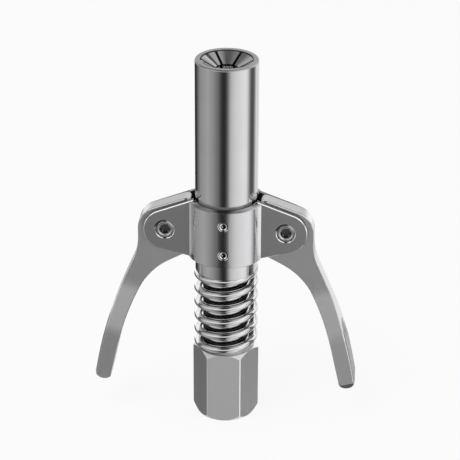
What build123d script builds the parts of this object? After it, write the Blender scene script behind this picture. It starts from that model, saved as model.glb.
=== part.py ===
"""Lever-release grease coupler for a hand or powered grease gun.

Millimetres. Z is the axis of the coupler: 0 is the wrench hex's bottom face and
the mouth that takes the grease fitting points up. X runs across the two levers,
and the front is toward -Y.

Squeezing the levers pulls the sleeve down toward the hex against the main spring.
The lever toes reach through windows in the sleeve into a groove in the stem, and
the jaws, no longer wrapped by the sleeve's tapered mouth, swing open.
"""
import os
from math import cos, dist, radians, sin, sqrt, tan

from build123d import *

os.makedirs("parts", exist_ok=True)

# Clearances shared by every fit
running_gap = 0.05
side_gap = 0.1
loose_gap = 0.15
seat_gap = 0.02

# Wrench hex and inlet
hex_across_flats = 16.0
hex_height = 20.85
hex_bottom_face_radius = 7.95
hex_bottom_angle = 52.0
hex_top_face_radius = 8.0
hex_top_angle = 40.0
hex_corner_bevel = 0.18
inlet_radius = 4.35
inlet_depth = 9.5
inlet_mouth_chamfer = 0.7
inlet_web = 2.5
socket_radius = 5.0

# Stem and grease passage
stem_radius = 6.4
passage_radius = 1.4
toe_groove_radius = 4.1
toe_groove_height = 3.4
toe_groove_chamfer = 0.5
carrier_socket_depth = 6.0

# Inlet check valve
check_ball_radius = 2.0
check_seat_bore = 1.2
check_seat_height = 1.2
check_chamber_radius = 2.6
check_chamber_height = 8.0
check_wire = 0.35
check_spring_radius = 1.5
check_spring_turns = 5

# Sleeve
sleeve_radius = 8.5
sleeve_bottom = 44.9
overall_height = 105.9
mouth_radius = 7.08
mouth_angle = 13.0
rim_round = 0.45
window_bottom = 52.6
window_height = 8.8
window_width = 5.6

# Main spring
wire_diameter = 2.1
spring_mean_radius = 7.8
spring_active_turns = 5
spring_end_turns = 0.7
spring_foot_rise = 2.0
spring_head_rise = 0.75

# Bracket halves that clamp round the sleeve
collar_radius = 10.5
collar_bottom = 49.4
collar_height = 16.6
collar_chamfer = 0.2
ear_thickness = 1.48
ear_tip_radius = 5.8
ear_root_gap = 0.1
ear_root_rise = 0.6
ear_edge_chamfer = 0.2

# Levers
lever_thickness = 4.9
pivot_x = 16.44
pivot_height = 57.4
hub_outer_reach = 7.56
hub_outer_round = 6.4
hub_top_rise = 6.4
hub_top_slope = 20.0
hub_inner_reach = 7.5
hub_inner_round = 1.8
toe_reach = 10.7
toe_angle = 10.5
toe_nose_radius = 1.2

# Lever handle outline: places are offsets from the pivot, outward and up
outer_neck = (11.86, -16.7)
outer_neck_angle = -66.7
outer_neck_round = 18.0
outer_tip = (19.91, -45.6)
outer_tip_angle = -79.2
outer_handle_round = 128.0
end_crown = (17.66, -47.35)
inner_tip = (15.61, -45.85)
inner_tip_angle = -77.5
inner_handle_straight = 1.6
inner_neck = (6.76, -17.6)
inner_neck_angle = -64.0
inner_throat = (-2.44, -9.3)
inner_throat_angle = -28.0
inner_throat_round = 20.0
throat_inner_reach = 4.7
heel = (-6.05, -5.5)
toe_root = (-7.85, -3.2)
toe_shoulder = (-8.3, -0.3)
hub_inner_foot = 2.1

# Handle thickness across the levers, by distance up the handle from its end
handle_thickness = 9.8
handle_lean = 15.0
grip_length = 16.1
flare_length = 14.2
flare_round = 16.0
end_bevel_height = 1.6
end_bevel_depth = 0.6
end_bevel_round = 0.5
lever_edge_chamfer = 0.2

# Pivot screws and bracket screws
pivot_shank_radius = 1.9
pivot_head_radius = 2.4
pivot_head_height = 0.7
pivot_head_recess = 0.15
pivot_socket_flats = 2.8
pivot_socket_mouth = 1.85
pivot_socket_depth = 1.9
pivot_mouth_depth = 0.3
pivot_mouth_taper = 40.0
pivot_head_chamfer = 0.2
pivot_bore_chamfer = 0.18
bracket_screw_radius = 1.5
bracket_screw_spacing = 8.6
bracket_screw_recess = 0.03
bracket_screw_chamfer = 0.32
bracket_screw_flats = 1.4
bracket_socket_mouth = 1.1
bracket_socket_depth = 1.5
bracket_mouth_depth = 0.18
bracket_mouth_taper = 60.0

# Jaws
jaw_count = 6
jaw_slot = 0.75
jaw_body_radius = 5.5
jaw_length = 19.95
jaw_top_drop = 0.3
jaw_top_land = 0.2
jaw_funnel_depth = 2.3
jaw_lip_radius = 3.05
jaw_lip_land = 0.3
jaw_pocket_radius = 3.4
jaw_pocket_depth = 3.1
jaw_foot_height = 2.4
jaw_hook_radius = 3.35
jaw_slot_chamfer = 0.2

# Seal carrier and seal
carrier_neck_radius = 3.2
carrier_nose_radius = 3.75
carrier_drop = 0.7
carrier_lip_radius = 2.45
carrier_lip_height = 0.8
seal_bore_radius = 2.9
seal_bore_depth = 7.5
seal_wire = 0.45
seal_spring_turns = 3
follower_height = 2.0
seal_base_height = 0.85
seal_base_radius = 2.6
seal_nose_radius = 2.15
seal_hole_radius = 1.0
seal_stand = 0.4

# Heights and radii that follow from the sizes above
socket_floor = inlet_depth + inlet_web
stem_foot = socket_floor + check_seat_height
chamber_top = stem_foot + check_chamber_height
bore_radius = stem_radius + running_gap
jaw_top = overall_height - jaw_top_drop
jaw_foot = jaw_top - jaw_length
stem_height = jaw_foot - loose_gap
nose_bottom = jaw_foot + jaw_foot_height + loose_gap + running_gap
arm_radius = carrier_nose_radius + loose_gap
lip_height = jaw_top - jaw_funnel_depth
pocket_floor = lip_height - jaw_pocket_depth
carrier_top = pocket_floor - arm_radius + jaw_pocket_radius - carrier_drop
lever_half = lever_thickness / 2
ear_inner = lever_half + side_gap
ear_outer = ear_inner + ear_thickness
collar_middle = collar_bottom + collar_height / 2
toe_x = pivot_x - toe_reach * cos(radians(toe_angle))
toe_z = pivot_height - toe_reach * sin(radians(toe_angle))
groove_top = toe_z + toe_nose_radius + running_gap
front_azimuth = -90
sides = (-1, 1)


def turned(points):
    """Revolve a closed radius and height outline round the coupler's axis."""
    with BuildPart() as turning:
        with BuildSketch(Plane.XZ):
            with BuildLine():
                Polyline(*points, close=True)
            make_face()
        revolve(axis=Axis.Z)
    return turning.part


def helix_span(radius, start, rise, turns, azimuth):
    """Stretch of right-hand helix that climbs by rise and starts at an azimuth in degrees."""
    with BuildLine() as span:
        Helix(rise / turns, rise, radius)
    return span.line.moved(Location((0, 0, start), (0, 0, azimuth))).edges()


def wound_spring(radius, wire, bottom, top, turns, foot_rise, head_rise):
    """Coil spring, right-hand, whose closing ends are ground flat between bottom and top.

    The wire has climbed foot_rise when it first passes the front, then makes its
    active turns, and closes by head_rise at the top.
    """
    active_rise = top - bottom - foot_rise - head_rise
    path = Wire(
        helix_span(radius, bottom, foot_rise, spring_end_turns, front_azimuth - 360 * spring_end_turns)
        + helix_span(radius, bottom + foot_rise, active_rise, turns, front_azimuth)
        + helix_span(radius, top - head_rise, head_rise, spring_end_turns, front_azimuth + 360 * turns)
    )
    with BuildPart() as coil:
        with BuildSketch(Plane(path @ 0, z_dir=path % 0)):
            Circle(wire / 2)
        sweep(path=path, is_frenet=True, transition=Transition.TRANSFORMED)
        with BuildSketch(Plane.XY.offset(bottom)):
            Circle(radius + wire)
        extrude(amount=top - bottom, mode=Mode.INTERSECT)
    return coil.part


# Wrench hex with the gun-side inlet in its bottom and the stem's socket in its top
blank_radius = hex_across_flats / sqrt(3)
bottom_chamfer = (blank_radius - hex_bottom_face_radius) * tan(radians(hex_bottom_angle))
top_chamfer = (blank_radius - hex_top_face_radius) * tan(radians(hex_top_angle))
with BuildPart() as hex_body:
    with BuildSketch() as hex_sketch:
        RegularPolygon(hex_across_flats / 2, 6, major_radius=False)
        chamfer(hex_sketch.vertices(), hex_corner_bevel)
    extrude(amount=hex_height)
    with BuildSketch(Plane.XZ):
        with BuildLine():
            Polyline(
                (0, 0),
                (hex_bottom_face_radius, 0),
                (blank_radius, bottom_chamfer),
                (blank_radius, hex_height - top_chamfer),
                (hex_top_face_radius, hex_height),
                (0, hex_height),
                close=True,
            )
        make_face()
    revolve(axis=Axis.Z, mode=Mode.INTERSECT)
    with BuildSketch():
        Circle(inlet_radius)
    extrude(amount=inlet_depth, mode=Mode.SUBTRACT)
    with BuildSketch(Plane.XY.offset(socket_floor)):
        Circle(socket_radius)
    extrude(amount=hex_height - socket_floor, mode=Mode.SUBTRACT)
    with BuildSketch(Plane.XY.offset(inlet_depth)):
        Circle(check_seat_bore)
    extrude(amount=inlet_web, mode=Mode.SUBTRACT)
    inlet_mouth = hex_body.edges().filter_by(GeomType.CIRCLE).group_by(Axis.Z)[0]
    chamfer(inlet_mouth.filter_by(lambda edge: edge.radius == inlet_radius), inlet_mouth_chamfer)

# Stem that the sleeve runs on, screwed into the hex
with BuildPart() as stem:
    with BuildSketch(Plane.XZ):
        with BuildLine():
            Polyline(
                (check_chamber_radius, stem_foot),
                (socket_radius - seat_gap, stem_foot),
                (socket_radius - seat_gap, hex_height),
                (stem_radius, hex_height),
                (stem_radius, groove_top - toe_groove_height),
                (toe_groove_radius, groove_top - toe_groove_height),
                (toe_groove_radius, groove_top),
                (stem_radius - toe_groove_chamfer, groove_top),
                (stem_radius, groove_top + toe_groove_chamfer),
                (stem_radius, stem_height),
                (carrier_neck_radius, stem_height),
                (carrier_neck_radius, stem_height - carrier_socket_depth),
                (passage_radius, stem_height - carrier_socket_depth),
                (passage_radius, chamber_top),
                (check_chamber_radius, chamber_top),
                close=True,
            )
        make_face()
    revolve(axis=Axis.Z)

# Inlet check valve: seat ring, ball and its spring
with BuildPart() as check_seat:
    with BuildSketch(Plane.XY.offset(socket_floor)):
        Circle(socket_radius - seat_gap)
        Circle(check_seat_bore, mode=Mode.SUBTRACT)
    extrude(amount=check_seat_height)
ball_rest_z = stem_foot + sqrt((check_ball_radius + seat_gap) ** 2 - check_seat_bore**2)
with BuildPart(Plane.XY.offset(ball_rest_z)) as check_ball:
    Sphere(check_ball_radius)
ball_contact_z = ball_rest_z + sqrt(check_ball_radius**2 - check_spring_radius**2) + check_wire / 2
check_spring_part = wound_spring(
    check_spring_radius, check_wire, ball_contact_z, chamber_top, check_spring_turns, check_wire, check_wire
)

# Seal carrier: its shank screws into the stem and its shoulder keeps the jaw feet down
seal_bore_top = carrier_top - carrier_lip_height
seal_bore_floor = seal_bore_top - seal_bore_depth
with BuildPart() as seal_carrier:
    with BuildSketch(Plane.XZ):
        with BuildLine():
            Polyline(
                (passage_radius, stem_height - carrier_socket_depth),
                (carrier_neck_radius - seat_gap, stem_height - carrier_socket_depth),
                (carrier_neck_radius - seat_gap, nose_bottom),
                (carrier_nose_radius, nose_bottom),
                (carrier_nose_radius, carrier_top),
                (carrier_lip_radius, carrier_top),
                (carrier_lip_radius, seal_bore_top),
                (seal_bore_radius, seal_bore_top),
                (seal_bore_radius, seal_bore_floor),
                (passage_radius, seal_bore_floor),
                close=True,
            )
        make_face()
    revolve(axis=Axis.Z)

# Floating seal: the cup meets the fitting, and the follower and spring hold it up
seal_base_top = seal_bore_top - loose_gap
seal_base = seal_base_top - seal_base_height
seal_top = carrier_top + seal_stand
follower_bottom = seal_base - follower_height
seal_cup_part = turned(
    [
        (seal_hole_radius, seal_base),
        (seal_base_radius, seal_base),
        (seal_base_radius, seal_base_top),
        (seal_nose_radius, seal_base_top),
        (seal_nose_radius, seal_top),
        (seal_hole_radius, seal_top),
    ]
)
seal_follower_part = turned(
    [
        (seal_hole_radius, follower_bottom),
        (seal_bore_radius - running_gap, follower_bottom),
        (seal_bore_radius - running_gap, seal_base),
        (seal_hole_radius, seal_base),
    ]
)
seal_spring_part = wound_spring(
    seal_bore_radius - loose_gap - seal_wire,
    seal_wire,
    seal_bore_floor,
    follower_bottom,
    seal_spring_turns,
    seal_wire,
    seal_wire,
)

# Sleeve with a tapered mouth, a window each side for a lever toe and bracket screw holes
mouth_slope = tan(radians(mouth_angle))
cone_bottom = overall_height - (mouth_radius - bore_radius) / mouth_slope
screw_heights = [collar_middle + side * bracket_screw_spacing / 2 for side in sides]
with BuildPart() as sleeve_tube:
    with BuildSketch(Plane.XZ):
        with BuildLine():
            Polyline(
                (bore_radius, sleeve_bottom),
                (sleeve_radius, sleeve_bottom),
                (sleeve_radius, overall_height),
                (mouth_radius, overall_height),
                (bore_radius, cone_bottom),
                close=True,
            )
        make_face()
    revolve(axis=Axis.Z)
    rim = sleeve_tube.edges().filter_by(GeomType.CIRCLE).group_by(Axis.Z)[-1].sort_by(SortBy.RADIUS)[-1]
    fillet(rim, rim_round)
    with BuildSketch(Plane.YZ.offset(-sleeve_radius)):
        with Locations((0, window_bottom + window_height / 2)):
            Rectangle(window_width, window_height)
    extrude(amount=2 * sleeve_radius, mode=Mode.SUBTRACT)
    with BuildSketch(Plane.XZ):
        with Locations(*[(0, height) for height in screw_heights]):
            Circle(bracket_screw_radius)
    extrude(amount=sleeve_radius, both=True, mode=Mode.SUBTRACT)

# Main spring between the hex and the sleeve's bottom edge
main_spring_part = wound_spring(
    spring_mean_radius,
    wire_diameter,
    hex_height,
    sleeve_bottom,
    spring_active_turns,
    spring_foot_rise,
    spring_head_rise,
)


def ear(side):
    """Clevis plate in front of a lever's hub, tapering from the collar to a round tip."""
    root_x = side * (sleeve_radius + ear_root_gap)
    ear_top = collar_bottom + collar_height + ear_root_rise
    with BuildPart() as plate:
        with BuildSketch(Plane.XZ.offset(ear_inner)):
            with BuildLine():
                Line((root_x, collar_bottom), (root_x, ear_top))
                CenterArc((side * pivot_x, pivot_height), ear_tip_radius, 90 + 90 * side, 360)
            make_hull()
        extrude(amount=ear_thickness)
        chamfer(plate.faces().sort_by(Axis.Y)[0].edges(), ear_edge_chamfer)
    return plate.part


def bracket_half(head_side):
    """Front half of the bracket: half a collar with a clevis ear on each side.

    head_side takes the pivot screws' heads; the other half takes their threads.
    """
    ears = [ear(side) for side in sides]
    bore = pivot_head_radius + side_gap
    with BuildPart() as half:
        with BuildSketch(Plane.XY.offset(collar_bottom)):
            Circle(collar_radius)
        extrude(amount=collar_height)
        chamfer(half.edges().filter_by(GeomType.CIRCLE), collar_chamfer)
        with BuildSketch(Plane.XY.offset(collar_bottom)):
            Circle(sleeve_radius + seat_gap)
            with Locations((0, collar_radius - ear_inner)):
                Rectangle(2 * collar_radius, 2 * collar_radius)
        extrude(amount=collar_height, mode=Mode.SUBTRACT)
        add(ears)
        with BuildSketch(Plane.XZ.offset(ear_inner)):
            with Locations(*[(side * pivot_x, pivot_height) for side in sides]):
                Circle(pivot_shank_radius + (running_gap if head_side else 0))
        extrude(amount=ear_thickness, mode=Mode.SUBTRACT)
        if head_side:
            with BuildSketch(Plane.XZ.offset(ear_outer)):
                with Locations(*[(side * pivot_x, pivot_height) for side in sides]):
                    Circle(bore)
            extrude(amount=-pivot_head_height - pivot_head_recess, mode=Mode.SUBTRACT)
            rounds = half.edges().filter_by(GeomType.CIRCLE)
            bore_rims = rounds.filter_by(lambda edge: abs(edge.radius - bore) < 1e-6)
            chamfer(bore_rims.group_by(Axis.Y)[0], pivot_bore_chamfer)
        with BuildSketch(Plane.XZ):
            with Locations(*[(0, height) for height in screw_heights]):
                Circle(bracket_screw_radius)
        extrude(amount=collar_radius, mode=Mode.SUBTRACT)
    return half.part


front_bracket_part = bracket_half(True)
rear_bracket_part = bracket_half(False).mirror(Plane.XZ)


def bracket_screw(height):
    """Socket set screw that pins a bracket half to the sleeve."""
    tip = bore_radius + side_gap
    head = collar_radius - bracket_screw_recess
    with BuildPart() as screw:
        with BuildSketch(Plane.XZ.offset(tip)):
            with Locations((0, height)):
                Circle(bracket_screw_radius)
        extrude(amount=head - tip)
        head_edge = screw.edges().filter_by(GeomType.CIRCLE).sort_by(Axis.Y)[0]
        chamfer(head_edge, bracket_screw_chamfer)
        with BuildSketch(Plane.XZ.offset(head)):
            with Locations((0, height)):
                RegularPolygon(bracket_screw_flats / 2, 6, major_radius=False)
        extrude(amount=-bracket_socket_depth, mode=Mode.SUBTRACT)
        with BuildSketch(Plane.XZ.offset(head)):
            with Locations((0, height)):
                Circle(bracket_socket_mouth)
        extrude(amount=-bracket_mouth_depth, taper=bracket_mouth_taper, mode=Mode.SUBTRACT)
    return screw.part


def pivot_screw(side):
    """Socket-head screw through both ears that a lever turns on."""
    head_face = ear_outer - pivot_head_recess
    centre = (side * pivot_x, pivot_height)
    with BuildPart() as screw:
        with BuildSketch(Plane.XZ.offset(head_face)):
            with Locations(centre):
                Circle(pivot_head_radius)
        extrude(amount=-pivot_head_height)
        with BuildSketch(Plane.XZ.offset(head_face)):
            with Locations(centre):
                Circle(pivot_shank_radius)
        extrude(amount=-head_face - ear_outer + pivot_head_recess)
        head_edges = screw.edges().filter_by(GeomType.CIRCLE).group_by(Axis.Y)[0]
        chamfer(head_edges.sort_by(SortBy.RADIUS)[-1], pivot_head_chamfer)
        with BuildSketch(Plane.XZ.offset(head_face)):
            with Locations(centre):
                RegularPolygon(pivot_socket_flats / 2, 6, major_radius=False)
        extrude(amount=-pivot_socket_depth, mode=Mode.SUBTRACT)
        with BuildSketch(Plane.XZ.offset(head_face)):
            with Locations(centre):
                Circle(pivot_socket_mouth)
        extrude(amount=-pivot_mouth_depth, taper=pivot_mouth_taper, mode=Mode.SUBTRACT)
    return screw.part


def along(start, angle, length):
    """Point at a distance from start, with the angle measured up from +X."""
    return (start[0] + length * cos(radians(angle)), start[1] + length * sin(radians(angle)))


def meeting(first, first_angle, second, second_angle):
    """Point where two lines cross, each given by a point and an angle."""
    ax, az = cos(radians(first_angle)), sin(radians(first_angle))
    bx, bz = cos(radians(second_angle)), sin(radians(second_angle))
    reach = ((second[0] - first[0]) * bz - (second[1] - first[1]) * bx) / (ax * bz - az * bx)
    return along(first, first_angle, reach)


def lever_outline(side):
    """Lever seen from the front, drawn for +X and flipped for the other side."""
    pivot = (pivot_x, pivot_height)

    def place(point):
        return (side * point[0], point[1])

    def from_pivot(offset):
        return (pivot[0] + offset[0], pivot[1] + offset[1])

    toe_line = 180 + toe_angle
    nose = along(pivot, toe_line, toe_reach)
    nose_top = along(nose, toe_line - 90, toe_nose_radius)
    nose_tip = along(nose, toe_line, toe_nose_radius)
    nose_bottom_point = along(nose, toe_line + 90, toe_nose_radius)
    top_point = along(pivot, 90 - hub_top_slope, hub_top_rise)
    outer_face = from_pivot((hub_outer_reach, 0))
    inner_face = from_pivot((-hub_inner_reach, 0))
    throat_face = from_pivot((-throat_inner_reach, 0))
    neck_outer, neck_inner = from_pivot(outer_neck), from_pivot(inner_neck)
    tip_outer, tip_inner = from_pivot(outer_tip), from_pivot(inner_tip)
    throat = from_pivot(inner_throat)
    outer = [
        from_pivot((-hub_inner_reach, hub_inner_foot)),
        meeting(inner_face, 90, top_point, -hub_top_slope),
        meeting(outer_face, 90, top_point, -hub_top_slope),
        meeting(outer_face, 90, neck_outer, outer_neck_angle),
        meeting(neck_outer, outer_neck_angle, tip_outer, outer_tip_angle),
        tip_outer,
    ]
    outer_rounds = [hub_inner_round, hub_outer_round, outer_neck_round, outer_handle_round]
    throat_half_turn = radians(inner_throat_angle - inner_neck_angle) / 2
    handle_half_turn = radians(inner_neck_angle - inner_tip_angle) / 2
    inner = [
        tip_inner,
        meeting(tip_inner, inner_tip_angle, neck_inner, inner_neck_angle),
        meeting(neck_inner, inner_neck_angle, throat, inner_throat_angle),
        meeting(throat, inner_throat_angle, throat_face, 90),
    ]
    neck_run = dist(inner[1], inner[2])
    handle_run = neck_run - inner_throat_round * tan(throat_half_turn) - inner_handle_straight
    inner_rounds = [handle_run / tan(handle_half_turn), inner_throat_round]
    with BuildSketch(Plane.XZ.offset(-handle_thickness / 2)) as outline:
        with BuildLine():
            FilletPolyline(*[place(point) for point in outer], radius=outer_rounds)
            ThreePointArc(place(tip_outer), place(from_pivot(end_crown)), place(tip_inner))
            FilletPolyline(*[place(point) for point in inner], radius=inner_rounds)
            Polyline(
                place(inner[-1]),
                place(from_pivot(heel)),
                place(from_pivot(toe_root)),
                place(nose_bottom_point),
            )
            ThreePointArc(place(nose_bottom_point), place(nose_tip), place(nose_top))
            Polyline(place(nose_top), place(from_pivot(toe_shoulder)), place(outer[0]))
        make_face()
    return outline.sketch


def on_lever_outline(edge, side):
    """True for an edge round the lever's front or back face, between its toe and its end."""
    middle = edge.center()
    run = (edge @ 1 - edge @ 0).normalized()
    across = Vector(side * cos(radians(handle_lean)), 0, sin(radians(handle_lean)))
    straight = edge.geom_type == GeomType.LINE
    crosses = straight and (abs(run.dot(across)) > 0.99 or abs(run.Y) > 0.99)
    above_end = middle.Z > pivot_height + outer_tip[1]
    past_toe = abs(middle.X) > pivot_x - hub_inner_reach - lever_edge_chamfer
    return past_toe and above_end and abs(middle.Y) > lever_half - lever_edge_chamfer and not crosses


def lever(side):
    """Squeeze lever: thin hub between the ears, and a handle that flares to a wide grip."""
    end = (side * (pivot_x + end_crown[0]), 0, pivot_height + end_crown[1])
    across = (side * cos(radians(handle_lean)), 0, sin(radians(handle_lean)))
    wide = handle_thickness / 2
    below = -end_bevel_height
    above = 2 * overall_height
    with BuildPart() as body:
        add(lever_outline(side))
        extrude(amount=handle_thickness, dir=(0, -1, 0))
        with BuildSketch(Plane(end, x_dir=(0, 1, 0), z_dir=across)):
            with BuildLine():
                half = [
                    (wide - 2 * end_bevel_depth, below),
                    (wide, end_bevel_height),
                    (wide, grip_length),
                    (lever_half, grip_length + flare_length),
                    (lever_half, above),
                ]
                if side < 0:
                    half = [(across_y, -height) for across_y, height in half]
                rounds = [end_bevel_round, flare_round, flare_round]
                FilletPolyline(*half, radius=rounds)
                other_half = [(-point[0], point[1]) for point in half]
                FilletPolyline(*other_half, radius=rounds)
                Line(half[0], other_half[0])
                Line(half[-1], other_half[-1])
            make_face()
        extrude(amount=overall_height, both=True, mode=Mode.INTERSECT)
        chamfer([edge for edge in body.edges() if on_lever_outline(edge, side)], lever_edge_chamfer)
        with BuildSketch(Plane.XZ.offset(-handle_thickness)):
            with Locations((side * pivot_x, pivot_height)):
                Circle(pivot_shank_radius + running_gap)
        extrude(amount=2 * handle_thickness, mode=Mode.SUBTRACT)
    return body.part


def jaw(index):
    """One sector of the jaw ring: hooked foot, arm, fitting pocket and funnel lip."""
    pocket_step = jaw_pocket_radius - jaw_lip_radius
    pocket_top = lip_height - jaw_lip_land - pocket_step
    top_radius = mouth_radius - jaw_top_drop * mouth_slope - running_gap / cos(radians(mouth_angle))
    head_bottom = jaw_top - (top_radius - jaw_body_radius) / mouth_slope
    spread = 180 / jaw_count
    middle = 90 + index * 360 / jaw_count
    apex = along((0, 0), middle, jaw_slot / 2 / sin(radians(spread)))
    with BuildPart() as sector:
        with BuildSketch(Plane.XZ):
            with BuildLine():
                Polyline(
                    (jaw_hook_radius, jaw_foot),
                    (jaw_body_radius, jaw_foot),
                    (jaw_body_radius, head_bottom),
                    (top_radius, jaw_top),
                    (top_radius - jaw_top_land, jaw_top),
                    (jaw_lip_radius, lip_height),
                    (jaw_lip_radius, lip_height - jaw_lip_land),
                    (jaw_pocket_radius, pocket_top),
                    (jaw_pocket_radius, pocket_floor),
                    (arm_radius, pocket_floor - arm_radius + jaw_pocket_radius),
                    (arm_radius, jaw_foot + jaw_foot_height),
                    (jaw_hook_radius, jaw_foot + jaw_foot_height),
                    close=True,
                )
            make_face()
        revolve(axis=Axis.Z)
        with BuildSketch(Plane.XY.offset(jaw_foot)):
            with BuildLine():
                Polyline(
                    apex,
                    along(apex, middle - spread, 2 * mouth_radius),
                    along(apex, middle + spread, 2 * mouth_radius),
                    close=True,
                )
            make_face()
        extrude(amount=jaw_top - jaw_foot, mode=Mode.INTERSECT)
        straight = sector.edges().filter_by(GeomType.LINE)
        funnel_edges = straight.filter_by(lambda edge: edge.bounding_box().min.Z > lip_height - jaw_top_land)
        chamfer(funnel_edges.sort_by(SortBy.LENGTH)[-2:], jaw_slot_chamfer)
    return sector.part


pieces = {
    "hex_body": hex_body.part,
    "stem": stem.part,
    "seal_carrier": seal_carrier.part,
    "check_seat": check_seat.part,
    "check_ball": check_ball.part,
    "check_spring": check_spring_part,
    "seal_cup": seal_cup_part,
    "seal_follower": seal_follower_part,
    "seal_spring": seal_spring_part,
    "main_spring": main_spring_part,
    "sleeve_tube": sleeve_tube.part,
    "front_bracket": front_bracket_part,
    "rear_bracket": rear_bracket_part,
    "left_lever": lever(-1),
    "right_lever": lever(1),
    "left_pivot_screw": pivot_screw(-1),
    "right_pivot_screw": pivot_screw(1),
}
for level, height in zip(("lower", "upper"), screw_heights):
    pieces["front_" + level + "_screw"] = bracket_screw(height)
    pieces["rear_" + level + "_screw"] = bracket_screw(height).mirror(Plane.XZ)
for index in range(jaw_count):
    pieces["jaw_" + str(index + 1)] = jaw(index)

for name, piece in pieces.items():
    piece.label = name
    export_step(piece, "parts/" + name + ".step")
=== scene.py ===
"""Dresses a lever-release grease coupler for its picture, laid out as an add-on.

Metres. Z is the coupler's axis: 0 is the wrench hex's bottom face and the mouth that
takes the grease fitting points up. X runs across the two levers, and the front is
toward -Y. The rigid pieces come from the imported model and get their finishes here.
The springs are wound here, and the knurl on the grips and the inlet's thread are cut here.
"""

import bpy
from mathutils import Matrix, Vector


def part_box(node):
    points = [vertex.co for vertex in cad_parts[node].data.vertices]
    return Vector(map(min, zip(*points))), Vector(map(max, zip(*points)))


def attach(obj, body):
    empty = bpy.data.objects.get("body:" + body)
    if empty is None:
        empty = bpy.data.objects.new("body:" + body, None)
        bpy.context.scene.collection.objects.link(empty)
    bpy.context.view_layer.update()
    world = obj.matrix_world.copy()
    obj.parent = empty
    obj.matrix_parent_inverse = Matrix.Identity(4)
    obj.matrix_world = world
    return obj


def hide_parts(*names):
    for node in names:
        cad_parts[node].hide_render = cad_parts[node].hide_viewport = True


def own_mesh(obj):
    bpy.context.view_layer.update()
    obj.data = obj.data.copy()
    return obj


bl_info = {
    "name": "Grease Coupler Dressing",
    "version": (1, 0, 0),
    "blender": (4, 5, 0),
    "location": "3D View > Sidebar > Coupler",
    "description": "Finishes, springs, knurl, thread and studio for a grease coupler",
    "category": "Object",
}

from collections import namedtuple
from math import ceil, cos, pi, radians, sin, sqrt

import bmesh
import bpy
from bpy.props import FloatProperty, FloatVectorProperty, PointerProperty
from mathutils import Matrix, Vector

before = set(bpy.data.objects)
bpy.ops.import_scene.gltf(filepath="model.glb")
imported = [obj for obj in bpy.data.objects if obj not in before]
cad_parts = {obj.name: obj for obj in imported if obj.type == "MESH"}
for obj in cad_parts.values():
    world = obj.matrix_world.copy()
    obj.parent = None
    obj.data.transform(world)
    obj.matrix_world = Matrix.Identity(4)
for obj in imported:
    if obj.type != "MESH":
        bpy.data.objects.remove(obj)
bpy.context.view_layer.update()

MM = 0.001
SIDES = {"left": -1, "right": 1}
JAWS = sorted(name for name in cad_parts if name.startswith("jaw_"))
PIVOT_SCREWS = [side + "_pivot_screw" for side in SIDES]
BRACKET_SCREWS = [
    face + "_" + level + "_screw" for face in ("front", "rear") for level in ("lower", "upper")
]
FRONT_AZIMUTH = radians(-90)

# Wire diameter, active turns, climb of the closing turns at foot and head, and their number
Coil = namedtuple("Coil", "wire turns foot_rise head_rise end_turns")


def number(name, default, description, **limits):
    """Number property, with its limits or unit as bpy.props names them."""
    return FloatProperty(name=name, description=description, default=default, **limits)


def size(name, default, description):
    """Length property whose default is given in millimetres."""
    return number(name, default * MM, description, min=0.0, unit="LENGTH", precision=5)


def triple(name, default, description, **limits):
    """Property of three numbers."""
    return FloatVectorProperty(
        name=name, description=description, default=default, size=3, **limits
    )


def location(name, default, description):
    """Point in the coupler's frame, whose default is given in millimetres."""
    return triple(name, [part * MM for part in default], description, unit="LENGTH")


def colour(name, default, description):
    """Linear colour property."""
    return triple(name, default, description, min=0.0, max=1.0, subtype="COLOR")


class CouplerSizes(bpy.types.PropertyGroup):
    """Sizes of what is made here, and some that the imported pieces' boxes don't give."""

    main_wire: size("Main spring wire", 2.1, "Wire diameter of the spring round the stem")
    main_turns: number("Main spring turns", 5, "Active turns", min=1)
    main_foot_rise: size("Main spring foot", 2.0, "Climb of the closing turn on the hex")
    main_head_rise: size("Main spring head", 0.75, "Climb of the closing turn at the sleeve")
    end_turns: number("Closing turns", 0.7, "Turns in each closed end", min=0.1)
    check_wire: size("Check spring wire", 0.35, "Wire diameter of the inlet check spring")
    check_turns: number("Check spring turns", 5, "Active turns", min=1)
    seal_wire: size("Seal spring wire", 0.45, "Wire diameter of the spring behind the seal")
    seal_turns: number("Seal spring turns", 3, "Active turns", min=1)
    thread_pitch: size("Thread pitch", 0.94, "Pitch of the inlet's pipe thread")
    thread_depth: size("Thread depth", 0.42, "Height of the inlet's thread")
    thread_start: size("Thread start", 0.95, "Height of the first thread above the hex's foot")
    thread_end: size("Thread end", 8.7, "Height of the last thread above the hex's foot")
    inlet_radius: size("Inlet radius", 4.35, "Radius of the inlet's bore")
    knurl_pitch: size("Knurl pitch", 0.86, "Width of one diamond of the grip's knurl")
    knurl_height: size("Knurl height", 0.3, "Height of one diamond of the grip's knurl")
    knurl_margin: size("Knurl margin", 0.5, "Plain strip from the knurl to the grip's edges")
    knurl_bottom: size("Knurl bottom", 11.6, "Height of the knurl's lower end")
    knurl_top: size("Knurl top", 30.5, "Height of the tip of the knurl's arched upper end")
    knurl_arch: size("Knurl arch", 6.5, "Length over which the knurl narrows to its tip")
    knurl_root: size("Knurl root", 0.1, "Depth of the knurl's foot in the grip")
    collar_top: size("Collar top", 66.0, "Height of the bracket collar's flat top")
    collar_radius: size("Collar radius", 10.5, "Radius of the bracket's collar")
    sleeve_radius: size("Sleeve radius", 8.5, "Radius of the sleeve's tube")
    mouth_radius: size("Mouth radius", 7.08, "Radius of the sleeve's mouth at its top")


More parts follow.
